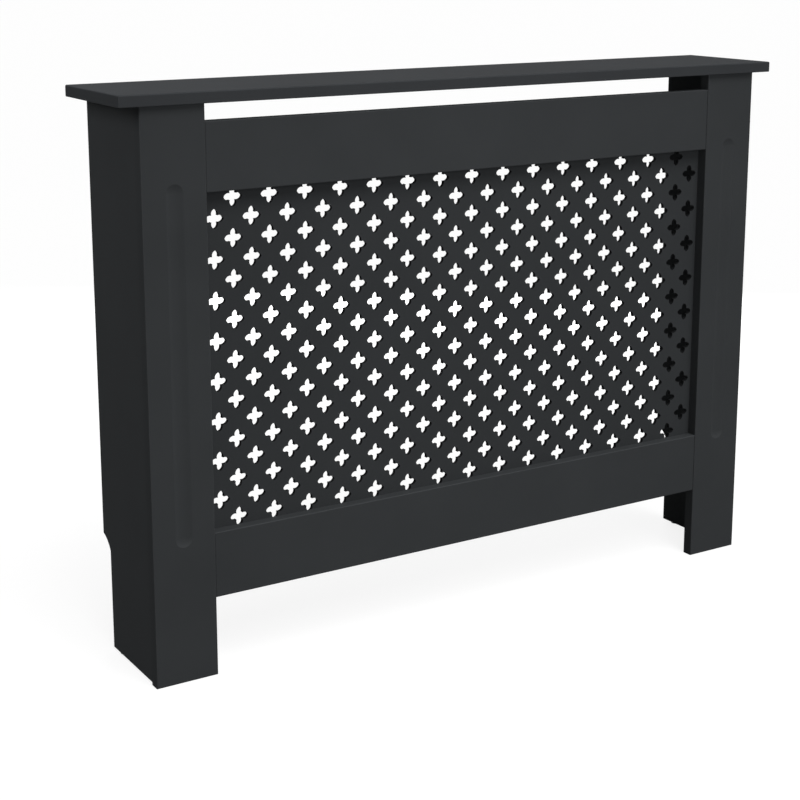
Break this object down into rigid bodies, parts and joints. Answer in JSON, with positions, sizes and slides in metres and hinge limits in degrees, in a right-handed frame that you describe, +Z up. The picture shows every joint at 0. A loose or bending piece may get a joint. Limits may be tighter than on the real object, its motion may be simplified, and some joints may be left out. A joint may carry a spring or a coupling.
{
  "type": "radiator cover cabinet",
  "caption": "Painted board cover that stands over a wall radiator, with a wide top shelf, fluted uprights, a pierced quatrefoil lattice front, a warm-air slot and skirting notches.",
  "frame": {"origin": "on the floor under the middle of the cover: the middle of the underside of its bounding box", "axes": "+X to the right seen from the front, along the shelf; +Y back to the wall, so the front faces -Y; +Z up"},
  "size_m": [1.12, 0.19, 0.82],
  "materials": {
    "shelf_paint": "fibreboard, smooth matt anthracite paint",
    "frame_paint": "fibreboard, smooth matt anthracite paint",
    "rail_paint": "fibreboard, smooth matt anthracite paint",
    "side_paint": "fibreboard, smooth matt anthracite paint",
    "lattice_paint": "thin fibreboard sheet, smooth matt anthracite paint",
    "beech": "bare beech",
    "cast_zinc": "die-cast zinc, dull",
    "plated_steel": "zinc-plated steel",
    "bracket_steel": "zinc-plated pressed steel",
    "white_nylon": "smooth white nylon"
  },
  "bodies": {
    "root": {"top_shelf": "shelf_paint", "left_stile": "frame_paint", "right_stile": "frame_paint", "top_rail": "rail_paint", "bottom_rail": "rail_paint", "left_side_panel": "side_paint", "right_side_panel": "side_paint", "lattice_panel": "lattice_paint", "left_wall_bracket": "bracket_steel", "right_wall_bracket": "bracket_steel", "rail_dowels": "beech", "side_dowels": "beech", "shelf_dowels": "beech", "rail_cam_locks": "cast_zinc", "side_cam_locks": "cast_zinc", "shelf_cam_locks": "cast_zinc", "rail_cam_bolts": "plated_steel", "side_cam_bolts": "plated_steel", "shelf_cam_bolts": "plated_steel", "lattice_screws": "plated_steel", "bracket_screws": "plated_steel", "floor_glides": "white_nylon", "glide_nails": "plated_steel"}
  },
  "joints": []
}
